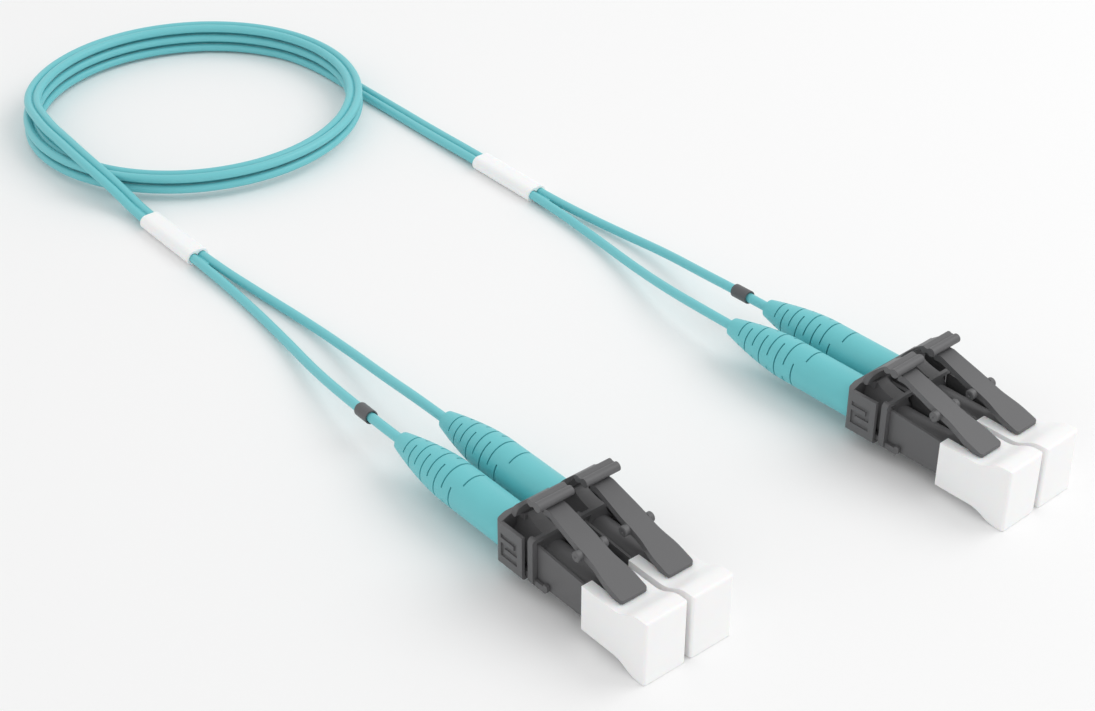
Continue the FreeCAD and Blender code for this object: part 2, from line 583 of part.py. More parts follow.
def duplex_clip():
    """Tray with a raised rear plate that holds the two rear housings; a numeral is sunk in each side."""
    block = box(-CLIP_HALF, CLIP_HALF, CLIP_Y, CLIP_REAR_Y, CLIP_BOTTOM_Z, CLIP_TOP_Z)
    top_half = CLIP_HALF - CLIP_RAMP
    plate = along([(-CLIP_HALF, CLIP_BOTTOM_Z), (CLIP_HALF, CLIP_BOTTOM_Z), (CLIP_HALF, CLIP_TOP_Z),
                   (top_half, CLIP_PLATE_TOP_Z), (-top_half, CLIP_PLATE_TOP_Z), (-CLIP_HALF, CLIP_TOP_Z)],
                  CLIP_PLATE_Y, CLIP_REAR_Y)
    body = block.fuse(plate).removeSplitter()
    long_edges = edges_where(body, lambda b: runs_along_y(b, 2) and b.ZMin < AXIS_Z)
    rear_edges = edges_where(body, lambda b: b.ZLength > 2 and b.YMin > CLIP_REAR_Y - TINY
                             and b.XLength < TINY)
    body = body.makeFillet(CLIP_EDGE_R, long_edges + rear_edges)
    inner = CLIP_HALF - CLIP_WALL
    rooms = [
        box(x0, x1, CLIP_Y, CLIP_PLATE_Y, CLIP_FLOOR_Z, CLIP_TOP_Z)
        for x0, x1 in ((-inner, -CLIP_WEB_HALF), (CLIP_WEB_HALF, inner))
    ]
    rooms.append(box(-CLIP_WEB_HALF, CLIP_WEB_HALF, CLIP_Y, CLIP_PLATE_Y, CLIP_WEB_TOP_Z, CLIP_TOP_Z))
    holes = [rod(BOOT_NECK_R + FIT, CLIP_PLATE_Y, CLIP_REAR_Y, x=side * PITCH / 2) for side in SIDES.values()]
    mark_y, mark_z = (CLIP_Y + CLIP_REAR_Y) / 2, (CLIP_BOTTOM_Z + CLIP_TOP_Z) / 2
    strokes = []
    for side_name, side in SIDES.items():
        for a0, a1, b0, b1 in numeral(MARKS[side_name]):
            x0, x1 = sorted((side * CLIP_HALF, side * (CLIP_HALF - MARK_DEPTH)))
            y0, y1 = sorted((mark_y + side * a0, mark_y + side * a1))
            strokes.append(box(x0, x1, y0, y1, mark_z + b0, mark_z + b1))
    return body.cut(rooms + holes + strokes).removeSplitter()


def route(points, radius, name):
    """Straight runs joined by tangent arcs, each as large as its two runs allow."""
    points = [Vector(p) for p in points]
    edges = []
    bends = []
    start = points[0]
    for before, here, after in zip(points, points[1:], points[2:]):
        into, out = (here - before), (after - here)
        reach = EASE * min(into.Length, out.Length)
        half_turn = into.getAngle(out) / 2
        bend = reach / math.tan(half_turn)
        into.normalize()
        out.normalize()
        arc_start, arc_end = here - into * reach, here + out * reach
        inward = (out - into).normalize()
        middle = here + inward * (math.hypot(reach, bend) - bend)
        edges.append(Part.LineSegment(start, arc_start).toShape())
        edges.append(Part.Arc(arc_start, middle, arc_end).toShape())
        bends.append(round(bend, 1))
        start = arc_end
    edges.append(Part.LineSegment(start, points[-1]).toShape())
    print(name, "bend radii", bends, "smallest is", round(min(bends) / (2 * radius), 1), "diameters")
    return Part.Wire(edges)


def tube(points, radius, name):
    path = route(points, radius, name)
    first = Vector(points[1]) - Vector(points[0])
    section = Part.Wire(Part.makeCircle(radius, Vector(points[0]), first))
    solid = path.makePipeShell([section], True, True)
    share = solid.Volume / (math.pi * radius ** 2 * path.Length)
    print(name, "length", round(path.Length, 1), "volume / (section x length)", round(share, 4))
    return solid


def connector_place(end):
    x, y, turn = CONNECTORS[end]
    return Placement(Vector(x, y, 0), Rotation(Vector(0, 0, 1), turn))


def strand(points, side):
    """The double cord's centre line, moved half a cord across to one of its two legs."""
    return [Vector(point) + Vector(side * STRAND_OFFSET, 0, 0) for point in points]


def leg_route(end, side_name):
    """From inside the boot, through the sleeve, to the coil."""
    side = SIDES[side_name]
    place = connector_place(end)
    start = [place.multVec(Vector(side * PITCH / 2, y, AXIS_Z)) for y in (LEG_START_Y, LEG_FIRST_BEND_Y)]
    joined = list(SLEEVE_RUNS[end]) + [Vector(p) for p in LEAD_POINTS[end]]
    return start + [Vector(p) for p in LEG_POINTS[end, side_name]] + strand(joined, side)


def on_run(shape, first, second):
    """Move a piece drawn along Y about the origin to the middle of the run between two points."""
    turn = Rotation(Vector(0, 1, 0), second - first)
    shape.Placement = Placement((first + second) * 0.5, turn)
    return shape


def sleeve(end):
    """Flat-oval sleeve round both legs."""
    half_height = LEG_R + FIT + SLEEVE_WALL
    half = SLEEVE_LENGTH / 2
    body = box(-STRAND_OFFSET, STRAND_OFFSET, -half, half, -half_height, half_height)
    body = body.fuse([rod(half_height, -half, half, 0, side * STRAND_OFFSET) for side in SIDES.values()])
    body = body.cut([rod(LEG_R + FIT, -half, half, 0, side * STRAND_OFFSET) for side in SIDES.values()])
    return on_run(body.removeSplitter(), *SLEEVE_RUNS[end])


def marker_band(end, side_name):
    """Short tube round one leg, set on the route at its distance from the boot."""
    half = BAND_LENGTH / 2
    band = rod(LEG_R + FIT + BAND_WALL, -half, half, 0).cut(rod(LEG_R + FIT, -half, half, 0))
    path = route(leg_route(end, side_name), LEG_R, f"{end}_marker_band")
    left = BOOT_END_Y - LEG_START_Y + BAND_FROM_BOOT[end]
    for edge in path.OrderedEdges:
        if left <= edge.Length:
            break
        left -= edge.Length
    where = edge.getParameterByLength(left)
    band.Placement = Placement(edge.valueAt(where), Rotation(Vector(0, 1, 0), edge.tangentAt(where)))
    return band


def cord_coil():
    """Outer shape of the coiled double cord, lying on the surface."""
    height = COIL_TURNS * COIL_PITCH + 2 * LEG_R
    half_width = 2 * LEG_R + WEB_GAP
    centre = Vector(COIL_CENTRE[0], COIL_CENTRE[1], 0)
    outer = Part.makeCylinder(COIL_R + half_width, height, centre)
    return outer.cut(Part.makeCylinder(COIL_R - half_width, height, centre))


PLUG_PIECES = {
    "plug_housing": plug_housing,
    "latch_lever": latch_lever,
    "ferrule": ferrule,
    "ferrule_flange": ferrule_flange,
    "ferrule_spring": ferrule_spring,
    "crimp_post": crimp_post,
    "crimp_ring": crimp_ring,
    "rear_body": rear_body,
    "trigger": trigger,
    "boot": boot,
    "dust_cap": dust_cap,
}


def build():
    """Every node, named, in the model's frame."""
    nodes = {}
    for piece, make in PLUG_PIECES.items():
        drawn = make()
        for end in CONNECTORS:
            for side_name, side in SIDES.items():
                shape = drawn.copy()
                shape.translate(Vector(side * PITCH / 2, 0, 0))
                shape.Placement = connector_place(end).multiply(shape.Placement)
                nodes[f"{end}_{side_name}_{piece}"] = shape
    for end in CONNECTORS:
        clip = duplex_clip()
        clip.Placement = connector_place(end).multiply(clip.Placement)
        nodes[f"{end}_duplex_clip"] = clip
        nodes[f"{end}_sleeve"] = sleeve(end)
        for side_name in SIDES:
            name = f"{end}_{side_name}_leg"
            nodes[name] = tube(leg_route(end, side_name), LEG_R, name)
    nodes["near_marker_band"] = marker_band("near", "left")
    nodes["far_marker_band"] = marker_band("far", "right")
    nodes["cord_coil"] = cord_coil()
    for shape in nodes.values():
        shape.Placement = Placement(Vector(0, -ORIGIN_Y, 0), Rotation()).multiply(shape.Placement)
    return nodes


def main():
    os.makedirs("parts", exist_ok=True)
    for name, shape in build().items():
        shape.exportStep(f"parts/{name}.step")
        print(f"{name:30s} solids {len(shape.Solids)} valid {shape.isValid()} volume {shape.Volume:.3f}")


if __name__ == "__main__":
    main()
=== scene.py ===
"""Duplex LC fibre patch cord: finishes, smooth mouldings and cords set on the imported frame.

Metres, in the frame's own axes: +Y from the near connector's nose to its cord, +Z up.
"""
import json
import math
from collections import namedtuple

import bmesh
import bpy
from bpy.props import FloatProperty, FloatVectorProperty, IntProperty, PointerProperty
from mathutils import Matrix, Vector


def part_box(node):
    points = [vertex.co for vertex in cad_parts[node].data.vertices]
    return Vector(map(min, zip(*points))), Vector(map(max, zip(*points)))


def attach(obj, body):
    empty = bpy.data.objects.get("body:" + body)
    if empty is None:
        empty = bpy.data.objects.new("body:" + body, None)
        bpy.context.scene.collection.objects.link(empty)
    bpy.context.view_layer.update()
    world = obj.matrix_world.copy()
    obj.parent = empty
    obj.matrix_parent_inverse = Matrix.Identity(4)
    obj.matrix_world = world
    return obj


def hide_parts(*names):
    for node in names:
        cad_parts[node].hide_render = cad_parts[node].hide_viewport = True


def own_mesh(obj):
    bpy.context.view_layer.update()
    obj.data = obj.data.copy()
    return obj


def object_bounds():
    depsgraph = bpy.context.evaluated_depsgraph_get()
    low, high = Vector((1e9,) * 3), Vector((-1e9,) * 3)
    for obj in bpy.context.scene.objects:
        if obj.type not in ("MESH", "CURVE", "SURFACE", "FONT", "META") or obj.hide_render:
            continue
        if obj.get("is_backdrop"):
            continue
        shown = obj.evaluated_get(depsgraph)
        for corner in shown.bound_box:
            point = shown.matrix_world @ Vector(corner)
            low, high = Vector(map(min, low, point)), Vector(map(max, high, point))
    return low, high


bl_info = {
    "name": "Duplex LC Patch Cord",
    "version": (1, 0, 0),
    "blender": (4, 5, 0),
    "location": "View3D > Sidebar > Patch Cord",
    "description": "Builds a duplex LC fibre patch cord around its engineering frame",
    "category": "Object",
}

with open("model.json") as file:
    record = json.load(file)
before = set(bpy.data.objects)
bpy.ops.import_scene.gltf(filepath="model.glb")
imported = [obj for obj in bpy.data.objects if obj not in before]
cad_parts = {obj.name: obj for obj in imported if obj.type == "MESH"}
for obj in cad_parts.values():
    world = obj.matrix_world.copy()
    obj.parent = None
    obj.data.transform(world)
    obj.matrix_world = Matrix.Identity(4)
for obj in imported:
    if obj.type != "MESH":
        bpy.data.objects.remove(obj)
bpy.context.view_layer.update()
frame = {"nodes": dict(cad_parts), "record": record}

MM = 0.001
ENDS = ("near", "far")
SIDES = {"left": -1, "right": 1}
PLUGS = [f"{end}_{side}" for end in ENDS for side in SIDES]

# Routes in millimetres, in the frame's axes
LEG_RADIUS = 0.6
STRAND_OFFSET = 0.61    # from the middle of the double cord to the middle of a strand
LEGS = {
    ("near", "left"): [(-3.125, 17.45, 4.15), (-3.125, 26.05, 4.15), (-2.15, 34.05, 3.0),
                       (-0.7, 42.65, 1.6), (0.9, 51.45, 0.85), (2.05, 61.45, 0.62)],
    ("near", "right"): [(3.125, 17.45, 4.15), (3.125, 26.05, 4.15), (3.8, 34.15, 3.0),
                        (4.9, 42.85, 1.6), (5.25, 51.85, 0.82), (4.65, 61.65, 0.62)],
    ("far", "left"): [(41.399, 10.498, 4.15), (41.139, 19.094, 4.15), (42.3, 27.05, 3.0),
                      (44.2, 35.55, 1.6), (45.95, 45.05, 0.85)],
    ("far", "right"): [(47.646, 10.686, 4.15), (47.387, 19.283, 4.15), (48.3, 27.35, 3.0),
                       (49.6, 35.85, 1.6), (49.35, 45.25, 0.8)],
}
JOINED = {
    "near": [(2.95, 72.0, 1.03), (3.2, 89.5, 1.03), (2.9, 93.7, 2.3), (2.2, 97.4, 3.75),
             (1.9, 101.6, 4.5), (2.2, 107.5, 4.75), (2.6, 113.9, 4.75)],
    "far": [(47.45, 56.45, 0.98), (47.5, 74.25, 0.96), (47.6, 83.25, 0.7), (47.72, 91.65, 0.62),
            (47.7, 99.95, 0.61)],
}
COIL_CENTRE = (24.4, 109.75)
COIL_RADIUS = 23.3
COIL_TURNS = 2.5
COIL_STEPS = 16         # route points in one turn
COIL_FIRST = 1          # the near lead takes the place of the point before this one
COIL_TOP = 4.6          # height of the cord's middle where the near lead joins
COIL_BOTTOM = 0.61      # and where the far lead leaves

# The two strands: name, near side, far side, place across the double cord (mm), length (m)
STRANDS = (
    ("outer_strand", "left", "right", STRAND_OFFSET, 0.568),
    ("inner_strand", "right", "left", -STRAND_OFFSET, 0.549),
)

# The bodies of the pieces that move; the others belong to the root
MOVING = {"latch_lever": "latch", "trigger": "trigger", "ferrule": "ferrule_set",
          "ferrule_flange": "ferrule_set", "dust_cap": "cap"}

# Mesh work: distance at which vertices merge, angle that counts as flat, angle that stays a crease
MERGE = 1e-6
FLAT = math.radians(0.5)
SHARP = math.radians(32)

# Resolution of a cord's round section, divisions in one turn of a spring and round its wire
CORD_STEPS = 6
SPRING_STEPS = 32
WIRE_STEPS = 12

# Camera and key lamp, in millimetres for the sensor and in metres for the rest
SENSOR_WIDTH = 36
CLIP_START = 0.005
CLIP_END = 20
LAMP_SIZE = 0.5
LAMP_PLACE = (0.42, -0.2, 0.5)
LAMP_TARGET = (0.02, 0.03, 0)


class PatchCordFinish(bpy.types.PropertyGroup):
    """Colours and surface sizes of the mouldings and the cord."""
    plug_colour: FloatVectorProperty(
        name="Plug Colour", description="Plastic of the housings, latches, triggers and clips",
        subtype="COLOR", size=3, min=0, max=1, default=(0.115, 0.115, 0.118))
    boot_colour: FloatVectorProperty(
        name="Boot Colour", description="Elastomer of the four boots",
        subtype="COLOR", size=3, min=0, max=1, default=(0.145, 0.565, 0.605))
    cord_colour: FloatVectorProperty(
        name="Cord Colour", description="Jacket of the double cord",
        subtype="COLOR", size=3, min=0, max=1, default=(0.16, 0.57, 0.615))
    cap_colour: FloatVectorProperty(
        name="Cap Colour", description="Soft plastic of the dust caps and the two sleeves",
        subtype="COLOR", size=3, min=0, max=1, default=(0.965, 0.965, 0.965))
    band_colour: FloatVectorProperty(
        name="Band Colour", description="Shrink tube of the marker bands",
        subtype="COLOR", size=3, min=0, max=1, default=(0.09, 0.09, 0.095))
    grain: FloatProperty(
        name="Mould Grain", description="Size of the fine texture that the mould leaves",
        unit="LENGTH", min=0.00001, max=0.001, precision=6, default=0.00012)
    patch: FloatProperty(
        name="Tint Patch", description="Size of the faint patches of lighter and darker plastic",
        unit="LENGTH", min=0.0001, max=0.02, precision=5, default=0.003)
    edge: FloatProperty(
        name="Edge Rounding", description="Radius that the mould leaves on an outer edge",
        unit="LENGTH", min=0, max=0.0005, precision=6, default=0.00006)
    edge_steps: IntProperty(
        name="Edge Steps", description="Faces across a rounded edge", min=1, max=6, default=2)


class PatchCordCable(bpy.types.PropertyGroup):
    """Sizes of the double cord."""
    diameter: FloatProperty(
        name="Leg Diameter", description="Outside diameter of one leg of the double cord",
        unit="LENGTH", min=0.0005, max=0.004, precision=5, default=2 * LEG_RADIUS * MM)
    web_width: FloatProperty(
        name="Web Width", description="Width of the web that joins the two legs",
        unit="LENGTH", min=0.0001, max=0.002, precision=5, default=0.0005)
    web_height: FloatProperty(
        name="Web Height", description="Thickness of the web that joins the two legs",
        unit="LENGTH", min=0.0001, max=0.002, precision=5, default=0.00036)
    steps: IntProperty(
        name="Steps", description="Divisions of the cord between two of its route's points",
        min=4, max=32, default=12)


class PatchCordSpring(bpy.types.PropertyGroup):
    """The wire springs behind the ferrules."""
    wire_radius: FloatProperty(
        name="Spring Wire", description="Radius of the spring's wire",
        unit="LENGTH", min=0.00005, max=0.0005, precision=6, default=0.00014)
    turns: FloatProperty(
        name="Spring Turns", description="Turns of wire in one spring", min=2, max=12, default=5)


class PatchCordStage(bpy.types.PropertyGroup):
    """Camera, floor and light."""
    camera_place: FloatVectorProperty(
        name="Camera Place", description="Where the camera stands", subtype="TRANSLATION",
        unit="LENGTH", size=3, precision=5, default=(-0.106745, -0.127288, 0.137625))
    camera_azimuth: FloatProperty(
        name="Camera Azimuth",
        description="Turn of the view about the vertical, from looking along +Y",
        subtype="ANGLE", unit="ROTATION", default=math.radians(-39.94))
    camera_elevation: FloatProperty(
        name="Camera Elevation", description="How steeply the camera looks down",
        subtype="ANGLE", unit="ROTATION", default=math.radians(34.03))
    camera_lens: FloatProperty(
        name="Camera Lens", description="Focal length in millimetres", unit="CAMERA",
        min=10, max=300, default=66.46)
    floor_colour: FloatVectorProperty(
        name="Floor Colour", description="Colour of the floor",
        subtype="COLOR", size=3, min=0, max=1, default=(0.95, 0.95, 0.95))
    floor_size: FloatProperty(
        name="Floor Size", description="Side of the square floor", unit="LENGTH",
        min=0.5, max=20, default=4.0)
    sky: FloatProperty(
        name="Sky", description="Strength of the even white light all round",
        min=0, max=2, default=0.81)
    key: FloatProperty(
        name="Key Lamp", description="Strength of the large soft lamp overhead", subtype="POWER",
        min=0, max=50, default=1.25)


Settings = namedtuple("Settings", "finish cable spring stage")


def settings():
    """The scene's four groups of sizes and colours."""
    scene = bpy.context.scene
    return Settings(scene.patch_cord_finish, scene.patch_cord_cable, scene.patch_cord_spring,
                    scene.patch_cord_stage)


def body_of(plug, piece):
    """The body that a plug's piece moves with."""
    return f"{plug}_{MOVING[piece]}" if piece in MOVING else "root"


# ---- Shader node groups ----

def link_all(tree, pairs):
    """Join each pair's first socket to its second."""
    for source, target in pairs:
        tree.links.new(source, target)


def new_group(name, inputs, outputs):
    """An empty shader group with its sockets; inputs are (name, type, default)."""
    group = bpy.data.node_groups.new(name, "ShaderNodeTree")
    for socket, kind, default in inputs:
        made = group.interface.new_socket(socket, in_out="INPUT", socket_type=kind)
        made.default_value = default
    for socket, kind in outputs:
        group.interface.new_socket(socket, in_out="OUTPUT", socket_type=kind)
    return group, group.nodes.new("NodeGroupInput"), group.nodes.new("NodeGroupOutput")


def maths(tree, operation, *values):
    """Output of a Math node whose inputs are numbers or sockets."""
    node = tree.nodes.new("ShaderNodeMath")
    node.operation = operation
    for socket, value in zip(node.inputs, values):
        if isinstance(value, (int, float)):
            socket.default_value = value
        else:
            tree.links.new(value, socket)
    return node.outputs[0]


def noise(tree, place, size, detail):
    """Noise whose features are about size metres across."""
    node = tree.nodes.new("ShaderNodeTexNoise")
    node.inputs["Detail"].default_value = detail
    tree.links.new(place, node.inputs["Vector"])
    tree.links.new(maths(tree, "DIVIDE", 1.0, size), node.inputs["Scale"])
    return node.outputs["Fac"]


def tinted(tree, colour, mask, spread):
    """Colour made lighter and darker by spread as mask goes from 0 to 1."""
    swing = maths(tree, "MULTIPLY", maths(tree, "SUBTRACT", mask, 0.5), spread)
    gain = maths(tree, "ADD", swing, 1.0)
    scale = tree.nodes.new("ShaderNodeVectorMath")
    scale.operation = "SCALE"
    tree.links.new(colour, scale.inputs[0])
    tree.links.new(gain, scale.inputs["Scale"])
    return scale.outputs[0]


SURFACE_OUTPUTS = [("Color", "NodeSocketColor"), ("Roughness", "NodeSocketFloat"),
                   ("Height", "NodeSocketFloat")]


def surface_out(group, given, out, mask, gloss, height):
    """Tint the group's colour by a mask, add gloss to its roughness and hand on a height."""
    colour = tinted(group, given.outputs["Color"], mask, given.outputs["Tint Spread"])
    roughness = maths(group, "ADD", given.outputs["Roughness"], gloss)
    link_all(group, [(colour, out.inputs["Color"]), (roughness, out.inputs["Roughness"]),
                     (height, out.inputs["Height"])])


def moulded_group():
    """Faint patches of tint, a little change in gloss, and the fine grain of the mould."""
    group, given, out = new_group("Moulded Surface", [
        ("Color", "NodeSocketColor", (0.5, 0.5, 0.5, 1)), ("Tint Spread", "NodeSocketFloat", 0.06),
        ("Patch Size", "NodeSocketFloat", 0.003), ("Grain Size", "NodeSocketFloat", 0.0001),
        ("Roughness", "NodeSocketFloat", 0.5), ("Gloss Spread", "NodeSocketFloat", 0.1),
    ], SURFACE_OUTPUTS)
    place = group.nodes.new("ShaderNodeTexCoord").outputs["Object"]
    patches = noise(group, place, given.outputs["Patch Size"], 3)
    grain = noise(group, place, given.outputs["Grain Size"], 2)
    swing = maths(group, "SUBTRACT", patches, 0.5)
    gloss = maths(group, "MULTIPLY", swing, given.outputs["Gloss Spread"])
    surface_out(group, given, out, patches, gloss, grain)


def drawn_group():
    """Fine lines drawn along one axis, as turning, drawing and extruding leave."""
    group, given, out = new_group("Drawn Lines", [
        ("Color", "NodeSocketColor", (0.5, 0.5, 0.5, 1)), ("Tint Spread", "NodeSocketFloat", 0.05),
        ("Line Size", "NodeSocketFloat", 0.00005), ("Stretch", "NodeSocketFloat", 12.0),
        ("Roughness", "NodeSocketFloat", 0.35), ("Gloss Spread", "NodeSocketFloat", 0.12),
    ], SURFACE_OUTPUTS)
    place = group.nodes.new("ShaderNodeTexCoord").outputs["Object"]
    squeeze = group.nodes.new("ShaderNodeVectorMath")
    squeeze.operation = "MULTIPLY"
    turned = group.nodes.new("ShaderNodeCombineXYZ")
    turned.inputs["X"].default_value = 1.0
    turned.inputs["Z"].default_value = 1.0
    link_all(group, [(given.outputs["Stretch"], turned.inputs["Y"]), (place, squeeze.inputs[0]),
                     (turned.outputs[0], squeeze.inputs[1])])
    lines = noise(group, squeeze.outputs[0], given.outputs["Line Size"], 2)
    gloss = maths(group, "MULTIPLY", lines, given.outputs["Gloss Spread"])
    surface_out(group, given, out, lines, gloss, lines)


# ---- Materials ----

def opaque(colour):
    return (*colour, 1.0)


def finish(name, group, bump, surface, shader):
    """Material with a group's colour, gloss and bump; shader sets the Principled's own sockets."""
    if name in bpy.data.materials:
        return bpy.data.materials[name]
    material = bpy.data.materials.new(name)
    material.use_nodes = True
    tree = material.node_tree
    principled = tree.nodes["Principled BSDF"]
    for socket, value in shader.items():
        principled.inputs[socket].default_value = value
    skin = tree.nodes.new("ShaderNodeGroup")
    skin.node_tree = bpy.data.node_groups[group]
    for socket, value in surface.items():
        skin.inputs[socket].default_value = value
    relief = tree.nodes.new("ShaderNodeBump")
    relief.inputs["Strength"].default_value = 1.0
    relief.inputs["Distance"].default_value = bump
    link_all(tree, [
        (skin.outputs["Color"], principled.inputs["Base Color"]),
        (skin.outputs["Roughness"], principled.inputs["Roughness"]),
        (skin.outputs["Height"], relief.inputs["Height"]),
        (relief.outputs["Normal"], principled.inputs["Normal"]),
    ])
    material.diffuse_color = surface["Color"]
    return material


def moulded_inputs(colour, tint, roughness, gloss):
    """Inputs of the moulded surface group for one plastic."""
    look = settings().finish
    return {"Color": opaque(colour), "Tint Spread": tint, "Patch Size": look.patch,
            "Grain Size": look.grain, "Roughness": roughness, "Gloss Spread": gloss}


def drawn_inputs(colour, tint, line, stretch, roughness, gloss=0.12):
    """Inputs of the drawn lines group for one jacket or metal."""
    return {"Color": opaque(colour), "Tint Spread": tint, "Line Size": line, "Stretch": stretch,
            "Roughness": roughness, "Gloss Spread": gloss}


def material_for(slot):
    """The finish of one of the record's material slots; bump is its relief's depth in metres."""
    look = settings().finish
    kinds = {
        "plug_grey": dict(
            group="Moulded Surface", bump=0.000004,
            surface=moulded_inputs(look.plug_colour, tint=0.12, roughness=0.47, gloss=0.16),
            shader={"Specular IOR Level": 0.45}),
        "cap_white": dict(
            group="Moulded Surface", bump=0.000003,
            surface=moulded_inputs(look.cap_colour, tint=0.02, roughness=0.42, gloss=0.08),
            shader={"Subsurface Weight": 0.15, "Subsurface Scale": 0.0006}),
        "boot_aqua": dict(
            group="Moulded Surface", bump=0.000003,
            surface=moulded_inputs(look.boot_colour, tint=0.06, roughness=0.46, gloss=0.1),
            shader={"Sheen Weight": 0.06, "Sheen Roughness": 0.5}),
        "cord_aqua": dict(
            group="Drawn Lines", bump=0.0000015,
            surface=drawn_inputs(look.cord_colour, tint=0.05, line=0.0002, stretch=0.12,
                                 roughness=0.34),
            shader={"Coat Weight": 0.08, "Coat Roughness": 0.3}),
        "band_grey": dict(
            group="Moulded Surface", bump=0.000004,
            surface=moulded_inputs(look.band_colour, tint=0.12, roughness=0.5, gloss=0.12),
            shader={"Sheen Weight": 0.05}),
        "ceramic_white": dict(
            group="Moulded Surface", bump=0.0000004,
            surface=moulded_inputs((0.86, 0.85, 0.81), tint=0.02, roughness=0.16, gloss=0.04),
            shader={"Coat Weight": 0.5, "Coat Roughness": 0.05, "IOR": 2.0}),
        "nickel_metal": dict(
            group="Drawn Lines", bump=0.0000015,
            surface=drawn_inputs((0.62, 0.6, 0.56), tint=0.1, line=0.00006, stretch=6.0,
                                 roughness=0.24),
            shader={"Metallic": 1.0}),
        "spring_steel": dict(
            group="Drawn Lines", bump=0.000001,
            surface=drawn_inputs((0.55, 0.55, 0.56), tint=0.08, line=0.00005, stretch=1.0,
                                 roughness=0.2),
            shader={"Metallic": 1.0}),
    }
    return finish(slot.replace("_", " ").title(), **kinds[slot])


def dress(thing, slot):
    """Give every face of a piece one finish."""
    thing.data.materials.clear()
    thing.data.materials.append(material_for(slot))
    return thing


# ---- Mesh helpers ----

def smooth_copy(node):
    """A joined, smooth-shaded copy of a frame node's mesh, with creases where it turns sharply."""
    mesh = frame["nodes"][node].data.copy()
    work = bmesh.new()
    work.from_mesh(mesh)
    bmesh.ops.remove_doubles(work, verts=work.verts, dist=MERGE)
    bmesh.ops.dissolve_limit(work, angle_limit=FLAT, verts=work.verts, edges=work.edges)
    for face in work.faces:
        face.smooth = True
    for edge in work.edges:
        edge.smooth = edge.is_manifold and edge.calc_face_angle(0) < SHARP
    work.to_mesh(mesh)
    work.free()
    return mesh


def moulding(node, body, slot, rounding):
    """Smooth copy of a frame node that stands for it, with its outer edges rounded."""
    piece = bpy.data.objects.new(f"{node}_moulding", smooth_copy(node))
    bpy.context.scene.collection.objects.link(piece)
    if rounding > 0:
        bevel = piece.modifiers.new("Rounding", "BEVEL")
        bevel.width = rounding
        bevel.segments = settings().finish.edge_steps
        bevel.limit_method = "ANGLE"
        bevel.angle_limit = SHARP
        bevel.use_clamp_overlap = True
        bevel.harden_normals = True
    dress(piece, slot)
    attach(piece, body)
    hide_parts(node)
    return piece


def moulded_plugs(piece, slot, rounding=0):
    """Smooth copies of one piece of all four plugs."""
    for plug in PLUGS:
        moulding(f"{plug}_{piece}", body_of(plug, piece), slot, rounding)


def dressed_nodes(piece, slot):
    """Finish for the frame's own nodes of one piece of all four plugs."""
    for plug in PLUGS:
        dress(frame["nodes"][f"{plug}_{piece}"], slot)


# ---- Cord routes ----

def coil_points(radius):
    """Points round the coil from where the near lead joins it, just outside its turns."""
    step = 360 / COIL_STEPS
    count = int(COIL_TURNS * COIL_STEPS)
    reach = radius / math.cos(math.radians(step / 2))
    points = []
    for index in range(COIL_FIRST, count):
        angle = math.radians(180 - step * (index + 0.5))
        height = COIL_TOP + (COIL_BOTTOM - COIL_TOP) * (index + 0.5) / count
        points.append((COIL_CENTRE[0] + reach * math.cos(angle),
                       COIL_CENTRE[1] + reach * math.sin(angle), height))
    return points


def joined_route(shift):
    """Sleeves, leads and coil, for a strand shift mm outside the middle of the double cord."""
    near = [(x - shift, y, z) for x, y, z in JOINED["near"]]
    far = [(x + shift, y, z) for x, y, z in JOINED["far"]]
    return near + coil_points(COIL_RADIUS + shift) + far[::-1]


def strand_route(near_side, far_side, shift):
    """A strand's whole route, from its near boot to its far boot."""
    return LEGS["near", near_side] + joined_route(shift) + LEGS["far", far_side][::-1]


def spline_of(name, points):
    """A curve object with one smooth open spline through the route's points."""
    curve = bpy.data.curves.new(name, "CURVE")
    curve.dimensions = "3D"
    spline = curve.splines.new("NURBS")
    spline.points.add(len(points) - 1)
    for place, point in zip(spline.points, points):
        place.co = (*(value * MM for value in point), 1)
    spline.order_u = 3
    spline.use_endpoint_u = True
    curve.resolution_u = settings().cable.steps
    thing = bpy.data.objects.new(name, curve)
    bpy.context.scene.collection.objects.link(thing)
    return thing


class LC_OT_cords(bpy.types.Operator):
    """Two strands of round cord, each from a near boot through the coil to a far boot"""
    bl_idname = "patch_cord.cords"
    bl_label = "Cords"

    def execute(self, context):
        for name, near_side, far_side, shift, _ in STRANDS:
            strand = spline_of(name, strand_route(near_side, far_side, shift))
            strand.data.bevel_depth = settings().cable.diameter / 2
            strand.data.bevel_resolution = CORD_STEPS
            strand.data.use_fill_caps = True
            dress(strand, "cord_aqua")
            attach(strand, "root")
            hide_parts(f"near_{near_side}_leg", f"far_{far_side}_leg", "cord_coil")
        return {"FINISHED"}


